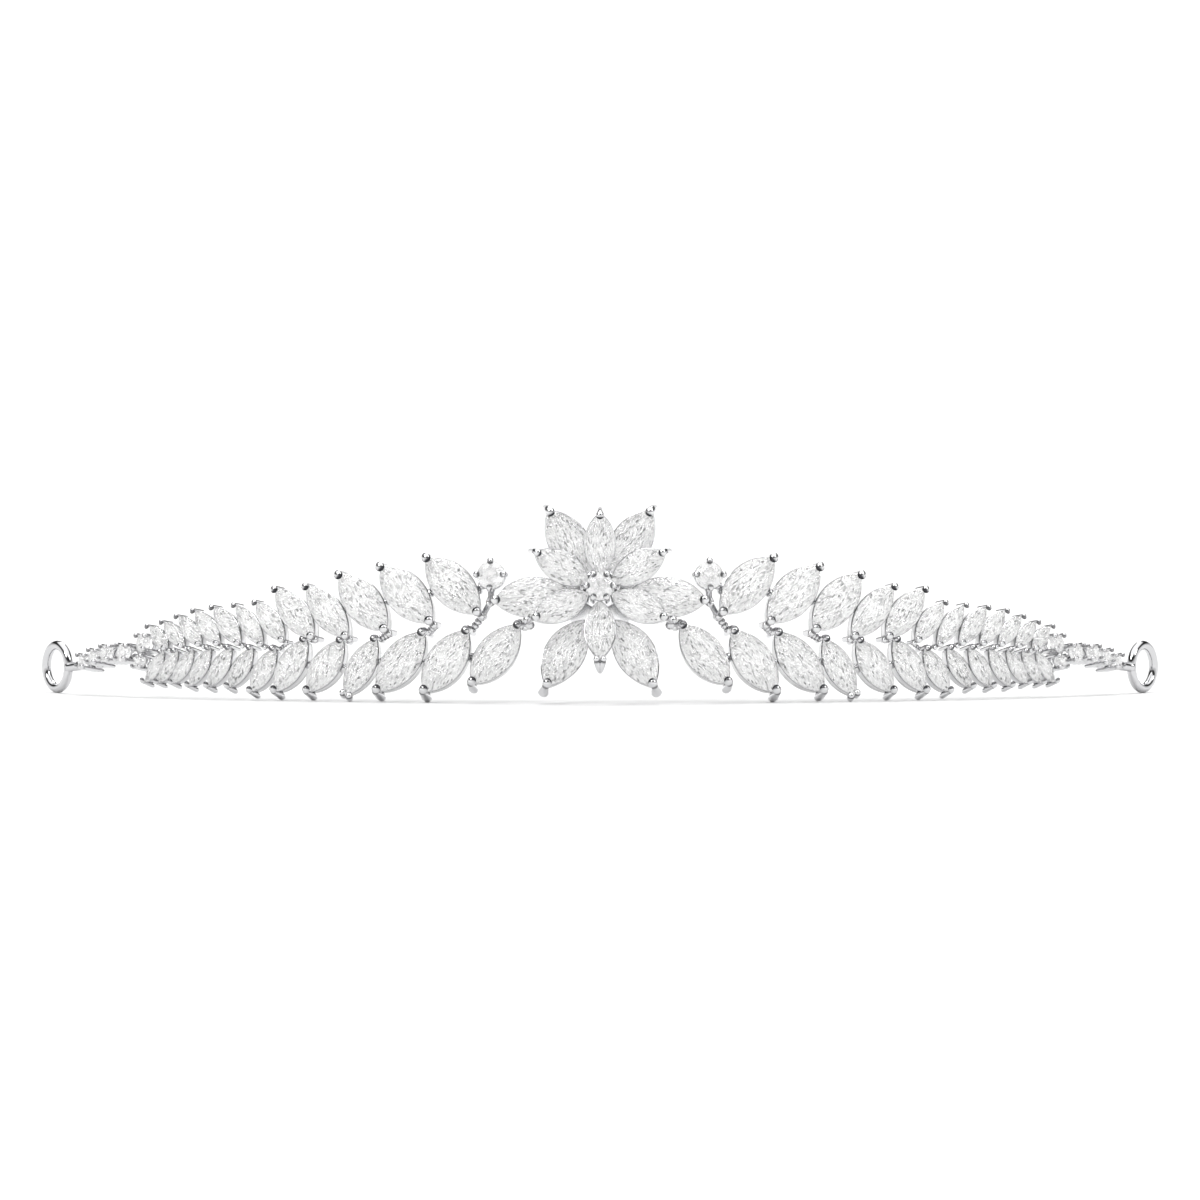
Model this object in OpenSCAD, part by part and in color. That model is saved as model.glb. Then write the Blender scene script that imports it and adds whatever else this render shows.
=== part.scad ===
// A tiara: a flower of cut stones at the middle, two rows of leaf-shaped stones along each side,
// a line of small round stones and a wire ring at each end. It stands on its lower edge.
// Millimetres. +Z is up, the front faces -Y, and the surface that it stands on is Z = 0.
// The right half is drawn, and mirrored for the left one.

/* [Band] */
// Radius of the band seen from above, at the edges of the stones
band_radius = 84; // [83:0.5:85]
// How far the band's front lies behind the middle of the whole depth, as a negative Y
band_front = -17.45; // [-18:0.05:-17]
// Upward tilt of the upper row's stones, degrees
upper_pitch = 8; // [6:1:10]
// Upward tilt of the lower row's stones, degrees
lower_pitch = 15; // [13:1:16]
// Upward tilt of the round stones, degrees
round_pitch = 10; // [8:1:12]

/* [Flower] */
// Height of the flower's middle above the surface
flower_height = 14.1; // [13.8:0.1:14.5]
// How far the back petals stand in front of the band
flower_forward = 0.3; // [0.1:0.1:0.6]
// Upward tilt of the flower, degrees
flower_pitch = 8; // [6:1:10]
// Diameter of the centre stone
centre_d = 3.4; // [3:0.1:3.5]

/* [Settings] */
// Thickness of a gallery, the wall under a stone's edge
wall = 0.35; // [0.3:0.05:0.4]
// Height of a gallery for each millimetre of its stone's width
gallery_share = 0.4; // [0.35:0.05:0.45]
// Gap between a stone and its claws
stone_gap = 0.1; // [0.08:0.01:0.12]
// Diameter of the rods that join the settings
joint_d = 0.8; // [0.7:0.1:0.9]

/* [Ends] */
// Mean radius of an end ring
ring_r = 2.73; // [2.6:0.01:2.8]
// Diameter of the ring's wire and of the rod that carries it
wire_d = 1.2; // [1:0.1:1.3]
// Azimuth of an end ring, degrees
ring_azimuth = 56.5; // [56:0.1:57]

/* [Hidden] */
$fn = 32;
// Fine circles for the long arcs of the leaf outlines
arc_fn = 96;
// Sides of the claws, and of the rods between settings
claw_sides = 8;
rod_sides = 6;

// Columns of the leaf tables: azimuth (degrees), height, lean outward (degrees), length, width
upper_leaves = [
    [12.6, 14.6, 45, 9.8, 4.9],
    [16.7, 13.45, 45, 9.8, 4.9],
    [20.6, 12.4, 44, 9.6, 4.7],
    [23.9, 11.2, 44, 8.7, 3.85],
    [27.0, 10.95, 44, 8.3, 3.7],
    [29.4, 9.85, 43, 6.5, 2.7],
    [31.5, 9.35, 42, 6.7, 2.4],
    [33.8, 9.25, 45, 6.4, 2.6],
    [35.9, 8.95, 46, 6.0, 2.4],
    [37.8, 8.5, 49, 5.4, 2.2],
    [39.6, 8.0, 51, 4.8, 2.1],
    [41.4, 7.55, 51, 4.4, 1.9],
];
// The tiara stands on the second leaf of this row on each side, and on the rings
lower_leaves = [
    [8.9, 6.1, -37, 9.4, 4.7],
    [13.2, 5.2, -33, 9.4, 4.8],
    [17.2, 5.08, -36, 9.4, 4.7],
    [20.8, 4.38, -25, 8.0, 3.6],
    [24.1, 4.45, -31, 7.8, 3.9],
    [27.4, 4.45, -27, 7.6, 3.7],
    [30.1, 3.8, -25, 6.2, 2.9],
    [32.4, 4.05, -27, 5.8, 2.6],
    [34.6, 4.05, -26, 5.7, 2.6],
    [36.7, 4.0, -25, 5.5, 2.3],
    [38.6, 4.0, -28, 5.0, 2.2],
    [40.3, 3.9, -28, 4.8, 2.0],
    [41.9, 3.85, -29, 4.6, 2.0],
];
// The lower leaf whose lower tip has two claws
double_claw_leaf = 3;
// An upper leaf before this one is linked to the lower leaf one further out, the others to their own
crossing = 6;
// Columns of the round stones' tables: azimuth (degrees), height, diameter, depth of the setting
end_rounds = [
    [43.3, 6.85, 2.4, 2.2],
    [43.7, 4.45, 2.0, 2.2],
    [45.7, 5.55, 2.5, 2.9],
    [47.9, 5.4, 2.3, 2.9],
    [49.6, 4.9, 2.2, 2.9],
    [51.2, 4.25, 2.1, 2.9],
];
side_round = [9.3, 15.9, 3.5, 2.2];
// Which end rounds are joined
round_pairs = [[0, 1], [0, 2], [1, 2], [2, 3], [3, 4], [4, 5]];
// Columns of the petal tables: direction (degrees from +X), middle's distance, length, width, cup (degrees)
front_petals = [
    [90, 5.3, 7.8, 3.8, 15],
    [28, 5.3, 7.8, 3.8, 15],
    [334, 5.3, 7.8, 3.8, 15],
    [270, 5.3, 7.8, 3.8, 15],
    [206, 5.3, 7.8, 3.8, 15],
    [152, 5.3, 7.8, 3.8, 15],
];
back_petals = [
    [57, 6.9, 9.8, 4.9, 12],
    [354, 8.4, 9.8, 4.9, 6],
    [299, 9.0, 9.8, 4.9, 12],
    [241, 9.0, 9.8, 4.9, 12],
    [186, 8.4, 9.8, 4.9, 6],
    [123, 6.9, 9.8, 4.9, 12],
];
// The front petal with two claws, and the petals that are joined to the right wing
double_claw_petal = 3;
link_front_petal = 2;
link_back_petal = 1;
// Levels of the front petals and the centre stone in front of the back petals
front_level = 3;
centre_level = 4.2;
// The flower's hub: a plate behind the back petals, a tube and a plate under the front ones
back_plate = [5.2, -3.4, -2.6];
front_plate = [2.45, 0.6, 1.2];
hub_tube_r = 1.4;

// The first leaves of each row are nodes of their own, and the small ones are one node a side
own_leaves = 6;
sides = ["left", "right"];

// A cut stone's heights as shares of its width
crown_share = 0.15;
pavilion_share = 0.42;
girdle_half = 0.08;
// Facets of a stone's table: points on each arc of a leaf, and points round a circle
leaf_facets = 4;
round_facets = 8;
// The table's size as shares of the stone's length and width
table_long = 0.6;
table_wide = 0.56;
// A gallery's top lies this far below the girdle, clear of the sloping pavilion
seat_drop = 0.5;
// A claw's foot reaches this far below its gallery, and below a round setting's ring
foot_drop = 0.5;
ring_foot = 0.3;
// A claw's bead starts at this height, just above the stone's edge, and is this much wider
claw_shoulder = 0.36;
bead_share = 1.3;
// A claw's middle lies this share of its radius outside the stone's edge
claw_offset = 0.5;
// The two claws of a double tip stand this many radii back from the tip
double_claw_back = 1.2;
// Height of the ring in a round stone's setting, and the level of its top under the centre stone
basket_ring = 0.9;
centre_ring_top = -0.8;
// The end rounds are joined to the last leaves at these shares of the leaves' lengths
upper_end_share = 0.25;
lower_end_share = -0.17;
// The end rings lie this far behind the band's front, with their lowest point on the surface
ring_back = 1.2;
ring_row = [ring_azimuth, ring_r + wire_d / 2, 0];

function az_of(row) = row[0];
function height_of(row) = row[1];
function lean_of(row) = row[2];
function long_of(row) = row[3];
function wide_of(row) = row[4];
function round_d(row) = row[2];
function round_depth(row) = row[3];
// A round stone's row as one that has a lean, for the place modules
function upright(row) = [az_of(row), height_of(row), 0];

// Radius of the two arcs that bound a leaf outline
function arc_radius(long, wide) = (long * long + wide * wide) / (4 * wide);
// Half the width of a leaf outline at the height y above its middle
function half_width(long, wide, y) =
    let (r = arc_radius(long, wide)) sqrt(r * r - y * y) - (r - wide / 2);
// Points round a leaf outline, n for each arc, from the upper tip
function leaf_points(long, wide, n) =
    let (r = arc_radius(long, wide), half = asin(long / 2 / r))
    [for (side = [-1, 1], i = [0 : n - 1])
        let (a = half - 2 * half * i / n)
        [side * (r * cos(a) - (r - wide / 2)), -side * r * sin(a)]];
function circle_points(d, n) = [for (i = [0 : n - 1]) d / 2 * [-sin(360 * i / n), cos(360 * i / n)]];
function at_level(points, z) = [for (p = points) [p[0], p[1], z]];

function turn_x(a, v) = [v[0], v[1] * cos(a) - v[2] * sin(a), v[1] * sin(a) + v[2] * cos(a)];
function turn_z(a, v) = [v[0] * cos(a) - v[1] * sin(a), v[0] * sin(a) + v[1] * cos(a), v[2]];
// A point of a stone's own frame (x across, y along, z outward) in the tiara's frame
function band_spot(row, pitch, v) =
    [0, band_front + band_radius, 0]
    + turn_z(az_of(row), [0, -band_radius, height_of(row)] + turn_x(90 - pitch, turn_z(-lean_of(row), v)));
function flower_spot(petal, level, v) =
    [0, band_front - flower_forward, flower_height]
    + turn_x(90 - flower_pitch, turn_z(petal[0] - 90, [0, petal[1], level] + turn_x(petal[4], v)));

module place(row, pitch) {
    translate([0, band_front + band_radius, 0])
        rotate([0, 0, az_of(row)])
            translate([0, -band_radius, height_of(row)])
                rotate([90 - pitch, 0, 0])
                    rotate([0, 0, -lean_of(row)])
                        children();
}

module place_flower() {
    translate([0, band_front - flower_forward, flower_height])
        rotate([90 - flower_pitch, 0, 0])
            children();
}

module place_petal(petal, level) {
    place_flower()
        rotate([0, 0, petal[0] - 90])
            translate([0, petal[1], level])
                rotate([petal[4], 0, 0])
                    children();
}

module on_side(side) {
    mirror([side == "left" ? 1 : 0, 0, 0]) children();
}

// A cut stone between a table outline of n points and a girdle outline of 2n points
module cut_stone(girdle, table, wide) {
    n = len(table);
    crown = girdle_half + crown_share * wide;
    points = concat(
        at_level(table, crown), at_level(girdle, girdle_half), at_level(girdle, -girdle_half),
        [[0, 0, -girdle_half - pavilion_share * wide]]
    );
    upper = n;
    lower = 3 * n;
    keel = 5 * n;
    color("white") polyhedron(points, concat(
        [[for (i = [0 : n - 1]) n - 1 - i]],
        [for (i = [0 : n - 1]) [i, (i + 1) % n, upper + 2 * i + 1]],
        [for (i = [0 : n - 1]) [i, upper + 2 * i + 1, upper + 2 * i]],
        [for (i = [0 : n - 1]) [i, upper + 2 * i, upper + (2 * i + 2 * n - 1) % (2 * n)]],
        [for (i = [0 : 2 * n - 1]) let (j = (i + 1) % (2 * n)) [upper + i, upper + j, lower + j, lower + i]],
        [for (i = [0 : 2 * n - 1]) [lower + i, lower + (i + 1) % (2 * n), keel]]
    ));
}

module leaf_stone(long, wide) {
    cut_stone(
        leaf_points(long, wide, 2 * leaf_facets),
        leaf_points(table_long * long, table_wide * wide, leaf_facets),
        wide
    );
}

module round_stone(d) {
    cut_stone(circle_points(d, 2 * round_facets), circle_points(table_wide * d, round_facets), d);
}

// A leaf outline, drawn smaller by inset all round
module leaf_outline(long, wide, inset = 0) {
    r = arc_radius(long, wide);
    intersection() {
        translate([r - wide / 2, 0]) circle(r - inset, $fn = arc_fn);
        translate([wide / 2 - r, 0]) circle(r - inset, $fn = arc_fn);
    }
}

// A claw: a wire post with a wider bead on top
module claw(r, foot) {
    translate([0, 0, foot]) cylinder(r = r, h = claw_shoulder + r / 2 - foot, $fn = claw_sides);
    translate([0, 0, claw_shoulder]) cylinder(r = bead_share * r, h = bead_share * r, $fn = claw_sides);
}

function gallery_height(wide) = gallery_share * wide;
function joint_depth(wide) = -seat_drop - gallery_height(wide) / 2;
function claw_r(wide) = 0.09 * wide + 0.03;
function claw_foot(wide) = -seat_drop - gallery_height(wide) - foot_drop;
// Where the claws of one tip stand: one beyond the tip, or two beside it
function tip_claws(long, wide, count) =
    let (
        r = claw_r(wide),
        y = long / 2 - double_claw_back * r,
        x = half_width(long, wide, y) + claw_offset * r
    )
    count == 2 ? [[-x, y, 0], [x, y, 0]] : [[0, long / 2 + claw_offset * r, 0]];

// The setting of a leaf-shaped stone: its gallery, and 0 to 2 claws at the upper and lower tip
module leaf_setting(long, wide, upper = 1, lower = 1) {
    h = gallery_height(wide);
    difference() {
        union() {
            translate([0, 0, -seat_drop - h])
                linear_extrude(h)
                    difference() {
                        leaf_outline(long, wide);
                        leaf_outline(long, wide, wall);
                    }
            if (upper > 0)
                for (spot = tip_claws(long, wide, upper))
                    translate(spot) claw(claw_r(wide), claw_foot(wide));
            if (lower > 0)
                for (spot = tip_claws(long, wide, lower))
                    translate([-spot[0], -spot[1], 0]) claw(claw_r(wide), claw_foot(wide));
        }
        translate([0, 0, -seat_drop])
            linear_extrude(seat_drop + claw_shoulder)
                leaf_outline(long, wide, -stone_gap);
    }
}

function round_claw_r(d) = 0.07 * d + 0.08;
// The top of the ring in a round setting, just above the claws' feet
function ring_top(depth) = ring_foot + basket_ring - depth;

// The setting of a round stone: a number of claws, and a ring that joins them
module round_setting(d, depth, top, claws = 4, turn = 45) {
    r = round_claw_r(d);
    difference() {
        union() {
            translate([0, 0, top - basket_ring]) cylinder(d = d, h = basket_ring);
            for (i = [0 : claws - 1])
                rotate([0, 0, turn + 360 * i / claws])
                    translate([d / 2 + claw_offset * r, 0, 0])
                        claw(r, -depth);
        }
        translate([0, 0, top - 2 * basket_ring]) cylinder(d = d - 2 * wall, h = 3 * basket_ring);
        translate([0, 0, -seat_drop]) cylinder(d = d + 2 * stone_gap, h = seat_drop + claw_shoulder);
    }
}

// A straight rod between two points
module rod(a, b, d = joint_d, sides = rod_sides) {
    v = b - a;
    l = norm(v);
    translate(a)
        rotate([0, acos(v[2] / l), atan2(v[1], v[0])])
            cylinder(d = d, h = l, $fn = sides);
}

// Spots in the metal: a leaf's claw at its upper (1) or lower (-1) tip, and a gallery's side at height y
function claw_spot(row, pitch, end) =
    band_spot(row, pitch, [
        0, end * (long_of(row) / 2 + claw_offset * claw_r(wide_of(row))), joint_depth(wide_of(row))
    ]);
function side_spot(row, pitch, side, y) =
    band_spot(row, pitch, [
        side * (half_width(long_of(row), wide_of(row), y) - wall / 2), y, joint_depth(wide_of(row))
    ]);
function petal_claw_spot(petal, level, x, z) =
    flower_spot(petal, level, [x, petal[2] / 2 + claw_offset * claw_r(petal[3]), z]);
// A spot on the ring of a round setting whose top is at that level, in the direction angle
function rim_spot(row, angle, top) =
    let (rim = round_d(row) / 2 - wall / 2)
    band_spot(upright(row), round_pitch, [rim * cos(angle), rim * sin(angle), top - basket_ring / 2]);
function basket_spot(row, angle) = rim_spot(row, angle, ring_top(round_depth(row)));
// Distance along the band from one row to the next, and the direction from one to the other
function along(row, next) = band_radius * (az_of(next) - az_of(row)) * PI / 180;
function bearing(row, next) = atan2(height_of(next) - height_of(row), along(row, next));

// The joint between two neighbours of a row, where their outlines come closest
module side_joint(row, next, pitch) {
    shift = (along(row, next) * sin(lean_of(row))
        + (height_of(next) - height_of(row)) * cos(lean_of(row))) / 2;
    rod(side_spot(row, pitch, 1, shift), side_spot(next, pitch, -1, -shift));
}

module round_joint(row, next) {
    angle = bearing(row, next);
    rod(basket_spot(row, angle), basket_spot(next, angle + 180));
}

module upper_row_metal() {
    for (row = upper_leaves)
        place(row, upper_pitch) leaf_setting(long_of(row), wide_of(row));
    for (i = [1 : len(upper_leaves) - 1])
        side_joint(upper_leaves[i - 1], upper_leaves[i], upper_pitch);
}

module lower_row_metal() {
    for (i = [0 : len(lower_leaves) - 1])
        place(lower_leaves[i], lower_pitch)
            leaf_setting(
                long_of(lower_leaves[i]), wide_of(lower_leaves[i]),
                lower = i == double_claw_leaf ? 2 : 1
            );
    for (i = [1 : len(lower_leaves) - 1])
        side_joint(lower_leaves[i - 1], lower_leaves[i], lower_pitch);
}

// Rods from the upper leaves' lower claws to the lower leaves' upper claws
module row_links() {
    for (i = [0 : len(upper_leaves) - 1])
        rod(
            claw_spot(upper_leaves[i], upper_pitch, -1),
            claw_spot(lower_leaves[i < crossing ? i + 1 : i], lower_pitch, 1),
            2 * claw_r(wide_of(upper_leaves[i]))
        );
}

module end_metal() {
    upper = upper_leaves[len(upper_leaves) - 1];
    lower = lower_leaves[len(lower_leaves) - 1];
    for (row = end_rounds)
        place(upright(row), round_pitch)
            round_setting(round_d(row), round_depth(row), ring_top(round_depth(row)));
    for (pair = round_pairs)
        round_joint(end_rounds[pair[0]], end_rounds[pair[1]]);
    rod(
        side_spot(upper, upper_pitch, 1, upper_end_share * long_of(upper)),
        basket_spot(end_rounds[0], bearing(end_rounds[0], upper))
    );
    rod(
        side_spot(lower, lower_pitch, 1, lower_end_share * long_of(lower)),
        basket_spot(end_rounds[1], bearing(end_rounds[1], lower))
    );
}

// The wire ring at the end, and the rod that carries it
module ring() {
    last = end_rounds[len(end_rounds) - 1];
    place(ring_row, 0)
        translate([0, 0, -ring_back])
            rotate_extrude($fn = 48)
                translate([ring_r, 0]) circle(d = wire_d);
    rod(
        basket_spot(last, bearing(last, ring_row)),
        band_spot(ring_row, 0, [-ring_r, 0, -ring_back]),
        wire_d, $fn
    );
}

// The side stone's setting, and the rods that join the wing to the flower
module wing_root() {
    front = front_petals[link_front_petal];
    back = back_petals[link_back_petal];
    upper = upper_leaves[0];
    prong = claw_r(front[3]);
    place(upright(side_round), round_pitch)
        round_setting(round_d(side_round), round_depth(side_round), -seat_drop, turn = 0);
    rod(rim_spot(side_round, -90, -seat_drop), petal_claw_spot(back, 0, 0, joint_depth(back[3])));
    rod(
        rim_spot(side_round, -45, -seat_drop),
        side_spot(upper, upper_pitch, -1, -upper_end_share * long_of(upper))
    );
    rod(
        petal_claw_spot(back, 0, 0, joint_depth(back[3])),
        claw_spot(upper, upper_pitch, -1)
    );
    for (x = [-prong, prong])
        rod(
            petal_claw_spot(front, front_level, x, claw_foot(front[3]) + prong),
            band_spot(lower_leaves[0], lower_pitch, [
                x, long_of(lower_leaves[0]) / 2 + prong, joint_depth(wide_of(lower_leaves[0]))
            ]),
            2 * prong
        );
}

module wing_metal() {
    upper_row_metal();
    lower_row_metal();
    row_links();
    end_metal();
    ring();
    wing_root();
}

// The flower's metal: petal settings, the hub behind them and the centre stone's claws
module flower_metal() {
    for (i = [0 : len(front_petals) - 1])
        place_petal(front_petals[i], front_level)
            leaf_setting(front_petals[i][2], front_petals[i][3], i == double_claw_petal ? 2 : 1, 0);
    for (petal = back_petals)
        place_petal(petal, 0) leaf_setting(petal[2], petal[3], 1, 0);
    place_flower() {
        for (plate = [back_plate, front_plate])
            translate([0, 0, plate[1]]) cylinder(r = plate[0], h = plate[2] - plate[1]);
        translate([0, 0, back_plate[1]]) cylinder(r = hub_tube_r, h = front_plate[2] - back_plate[1]);
        translate([0, 0, centre_level])
            round_setting(centre_d, centre_level - front_plate[1], centre_ring_top, 6, 0);
    }
}

module frame() {
    color("silver") {
        for (side = sides) on_side(side) wing_metal();
        flower_metal();
    }
}

module leaf(row, pitch) {
    place(row, pitch) leaf_stone(long_of(row), wide_of(row));
}

module small_leaves() {
    for (i = [own_leaves : len(upper_leaves) - 1]) leaf(upper_leaves[i], upper_pitch);
    for (i = [own_leaves : len(lower_leaves) - 1]) leaf(lower_leaves[i], lower_pitch);
}

module round_at(row) {
    place(upright(row), round_pitch) round_stone(round_d(row));
}

module petal(row, level) {
    place_petal(row, level) leaf_stone(row[2], row[3]);
}

module centre_stone() {
    place_flower() translate([0, 0, centre_level]) round_stone(centre_d);
}

frame();
centre_stone();
for (i = [1 : len(front_petals)])
    petal(front_petals[i - 1], front_level);
for (i = [1 : len(back_petals)])
    petal(back_petals[i - 1], 0);
for (side = sides) {
    on_side(side) round_at(side_round);
    for (i = [1 : own_leaves]) {
        on_side(side) leaf(upper_leaves[i - 1], upper_pitch);
        on_side(side) leaf(lower_leaves[i - 1], lower_pitch);
    }
    on_side(side) small_leaves();
    on_side(side) for (row = end_rounds) round_at(row);
}
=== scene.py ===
import math

import bpy
import numpy as np
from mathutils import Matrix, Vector


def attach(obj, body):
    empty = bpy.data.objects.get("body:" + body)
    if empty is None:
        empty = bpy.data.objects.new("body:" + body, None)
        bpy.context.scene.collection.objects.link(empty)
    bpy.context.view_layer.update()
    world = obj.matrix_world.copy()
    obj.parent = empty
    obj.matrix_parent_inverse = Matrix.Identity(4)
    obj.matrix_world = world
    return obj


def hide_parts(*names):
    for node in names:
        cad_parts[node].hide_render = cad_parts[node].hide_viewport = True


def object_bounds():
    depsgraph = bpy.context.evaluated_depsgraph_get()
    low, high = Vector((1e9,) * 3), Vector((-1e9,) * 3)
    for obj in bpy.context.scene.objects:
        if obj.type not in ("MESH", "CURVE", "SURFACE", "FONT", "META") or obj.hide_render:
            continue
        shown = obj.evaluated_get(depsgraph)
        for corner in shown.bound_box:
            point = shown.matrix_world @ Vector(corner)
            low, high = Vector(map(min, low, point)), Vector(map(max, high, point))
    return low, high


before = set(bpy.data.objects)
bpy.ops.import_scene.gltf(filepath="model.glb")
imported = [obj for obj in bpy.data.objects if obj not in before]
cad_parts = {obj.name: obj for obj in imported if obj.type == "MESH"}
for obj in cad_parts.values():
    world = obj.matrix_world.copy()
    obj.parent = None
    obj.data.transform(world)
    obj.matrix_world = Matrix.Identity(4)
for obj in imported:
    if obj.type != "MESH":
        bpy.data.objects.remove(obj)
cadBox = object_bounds()
mm = 0.001
print("frame loaded")


# Places. Sizes are in millimetres until a piece is built, and angles are in degrees.

band = {
    "radius": 84.0,       # of the curve that the stones follow, seen from above
    "front": -17.45,      # the curve's front along Y
    "upperPitch": 8.0,    # how far the stones of each row look upwards
    "lowerPitch": 15.0,
    "roundPitch": 10.0,
}
flower = {
    "height": 14.1,
    "forward": 0.3,       # in front of the band
    "pitch": 8.0,
    "frontLevel": 3.0,    # of the front petals and the centre stone, before the back petals
    "centreLevel": 4.2,
    "centreSize": 3.4,
}

# azimuth, height, lean outward, length, width
upperLeaves = [
    (12.6, 14.6, 45, 9.8, 4.9),
    (16.7, 13.45, 45, 9.8, 4.9),
    (20.6, 12.4, 44, 9.6, 4.7),
    (23.9, 11.2, 44, 8.7, 3.85),
    (27.0, 10.95, 44, 8.3, 3.7),
    (29.4, 9.85, 43, 6.5, 2.7),
    (31.5, 9.35, 42, 6.7, 2.4),
    (33.8, 9.25, 45, 6.4, 2.6),
    (35.9, 8.95, 46, 6.0, 2.4),
    (37.8, 8.5, 49, 5.4, 2.2),
    (39.6, 8.0, 51, 4.8, 2.1),
    (41.4, 7.55, 51, 4.4, 1.9),
]
lowerLeaves = [
    (8.9, 6.1, -37, 9.4, 4.7),
    (13.2, 5.2, -33, 9.4, 4.8),
    (17.2, 5.08, -36, 9.4, 4.7),
    (20.8, 4.38, -25, 8.0, 3.6),
    (24.1, 4.45, -31, 7.8, 3.9),
    (27.4, 4.45, -27, 7.6, 3.7),
    (30.1, 3.8, -25, 6.2, 2.9),
    (32.4, 4.05, -27, 5.8, 2.6),
    (34.6, 4.05, -26, 5.7, 2.6),
    (36.7, 4.0, -25, 5.5, 2.3),
    (38.6, 4.0, -28, 5.0, 2.2),
    (40.3, 3.9, -28, 4.8, 2.0),
    (41.9, 3.85, -29, 4.6, 2.0),
]
# azimuth, height, diameter, depth of the setting
endRounds = [
    (43.3, 6.85, 2.4, 2.2),
    (43.7, 4.45, 2.0, 2.2),
    (45.7, 5.55, 2.5, 2.9),
    (47.9, 5.4, 2.3, 2.9),
    (49.6, 4.9, 2.2, 2.9),
    (51.2, 4.25, 2.1, 2.9),
]
roundPairs = [(0, 1), (0, 2), (1, 2), (2, 3), (3, 4), (4, 5)]
sideRound = (9.3, 15.9, 3.5, 2.2)
# direction from +X, distance of the middle, length, width, cup
frontPetals = [(angle, 5.3, 7.8, 3.8, 15) for angle in (90, 28, 334, 270, 206, 152)]
backPetals = [
    (57, 6.9, 9.8, 4.9, 12),
    (354, 8.4, 9.8, 4.9, 6),
    (299, 9.0, 9.8, 4.9, 12),
    (241, 9.0, 9.8, 4.9, 12),
    (186, 8.4, 9.8, 4.9, 6),
    (123, 6.9, 9.8, 4.9, 12),
]
ownLeaves = 6             # leaves of a row that are nodes of their own, before the small ones
sides = ("left", "right")


def shift(x, y, z):
    # the identity with the move in its last column
    matrix = np.eye(4)
    matrix[:3, 3] = (x, y, z)
    return matrix


def turn(axis, degrees):
    # a turn about X (axis 0) or Z (axis 2): cosines on the other two axes, plus and minus the sine
    a, b = (1, 2) if axis == 0 else (0, 1)
    matrix = np.eye(4)
    matrix[a, a] = matrix[b, b] = math.cos(math.radians(degrees))
    matrix[b, a] = math.sin(math.radians(degrees))
    matrix[a, b] = -matrix[b, a]
    return matrix


def bandPlace(azimuth, height, lean, pitch):
    # from a stone's own frame (x across, y along, z outward) to the tiara's
    return (shift(0, band["front"] + band["radius"], 0) @ turn(2, azimuth)
            @ shift(0, -band["radius"], height) @ turn(0, 90 - pitch) @ turn(2, -lean))


def leafPlace(leaf, pitch):
    # a leaf's own frame: where the band is at its azimuth and height, turned by its lean
    return bandPlace(*leaf[:3], pitch)


def flowerPlace():
    # the flower's own frame: x across, y up its face, z outward
    return shift(0, band["front"] - flower["forward"], flower["height"]) @ turn(0, 90 - flower["pitch"])


def petalPlace(petal, level):
    # a petal's own frame: turned to its direction, moved out and up, and tipped by its cup
    direction, distance, long, wide, cup = petal
    return flowerPlace() @ turn(2, direction - 90) @ shift(0, distance, level) @ turn(0, cup)


def roundPlace(stone):
    # a round stone's own frame, which doesn't lean
    return bandPlace(stone[0], stone[1], 0, band["roundPitch"])


def spot(matrix, point):
    # where a point of an own frame lies in the tiara's
    return (matrix @ np.append(point, 1.0))[:3]


# Shapes are dictionaries of arrays: points, quads, tris and recess, the painted shade that
# darkens the metal, which is 0 on what stands proud and 1 in the depths.

def gridShape(grid, recess, loopRows=False, caps=False):
    # quads between the neighbours of a grid of points, whose columns close on themselves.
    # The rows close too, or two poles cap the first and last row.
    rows, columns = grid.shape[:2]
    index = np.arange(rows * columns).reshape(rows, columns)
    nextColumn = np.roll(index, -1, 1)
    last = rows if loopRows else rows - 1
    nextRow = np.roll(index, -1, 0)
    nextBoth = np.roll(nextColumn, -1, 0)
    corners = [index[:last], nextColumn[:last], nextBoth[:last], nextRow[:last]]
    quads = np.stack(corners, -1).reshape(-1, 4)
    points = grid.reshape(-1, 3)
    depth = np.broadcast_to(np.reshape(recess, (-1, 1)), (rows, columns)).ravel()
    tris = np.zeros((0, 3), int)
    if caps:
        poles = np.stack([grid[0].mean(0), grid[-1].mean(0)])
        low = np.full(columns, rows * columns)
        tris = np.concatenate([
            np.stack([low, nextColumn[0], index[0]], -1),
            np.stack([low + 1, index[-1], nextColumn[-1]], -1),
        ])
        points = np.concatenate([points, poles])
        depth = np.append(depth, [depth[0], depth[-1]])
    return {"points": points, "quads": quads, "tris": tris, "recess": depth}


def joined(shapes):
    # one shape, with each part's faces moved on by the number of points before it
    starts = np.cumsum([0] + [len(part["points"]) for part in shapes])
    whole = {key: np.concatenate([part[key] for part in shapes]) for key in shapes[0]}
    for key in ("quads", "tris"):
        whole[key] = np.concatenate([part[key] + start for part, start in zip(shapes, starts)])
    return whole


def moved(shape, matrix):
    # every point turned and then moved
    return {**shape, "points": shape["points"] @ matrix[:3, :3].T + matrix[:3, 3]}


def mirrored(shape):
    # x changes its sign, and each face runs the other way round
    return {**shape, "points": shape["points"] * (-1, 1, 1),
            "quads": shape["quads"][:, ::-1], "tris": shape["tris"][:, ::-1]}


def onSide(shape, side):
    # shapes are made for the right side, as the viewer sees it
    return mirrored(shape) if side == "left" else shape


def addAttribute(mesh, name, kind, field, values):
    # one value or vector for each point
    mesh.attributes.new(name, kind, "POINT").data.foreach_set(field, values.ravel())


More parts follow.
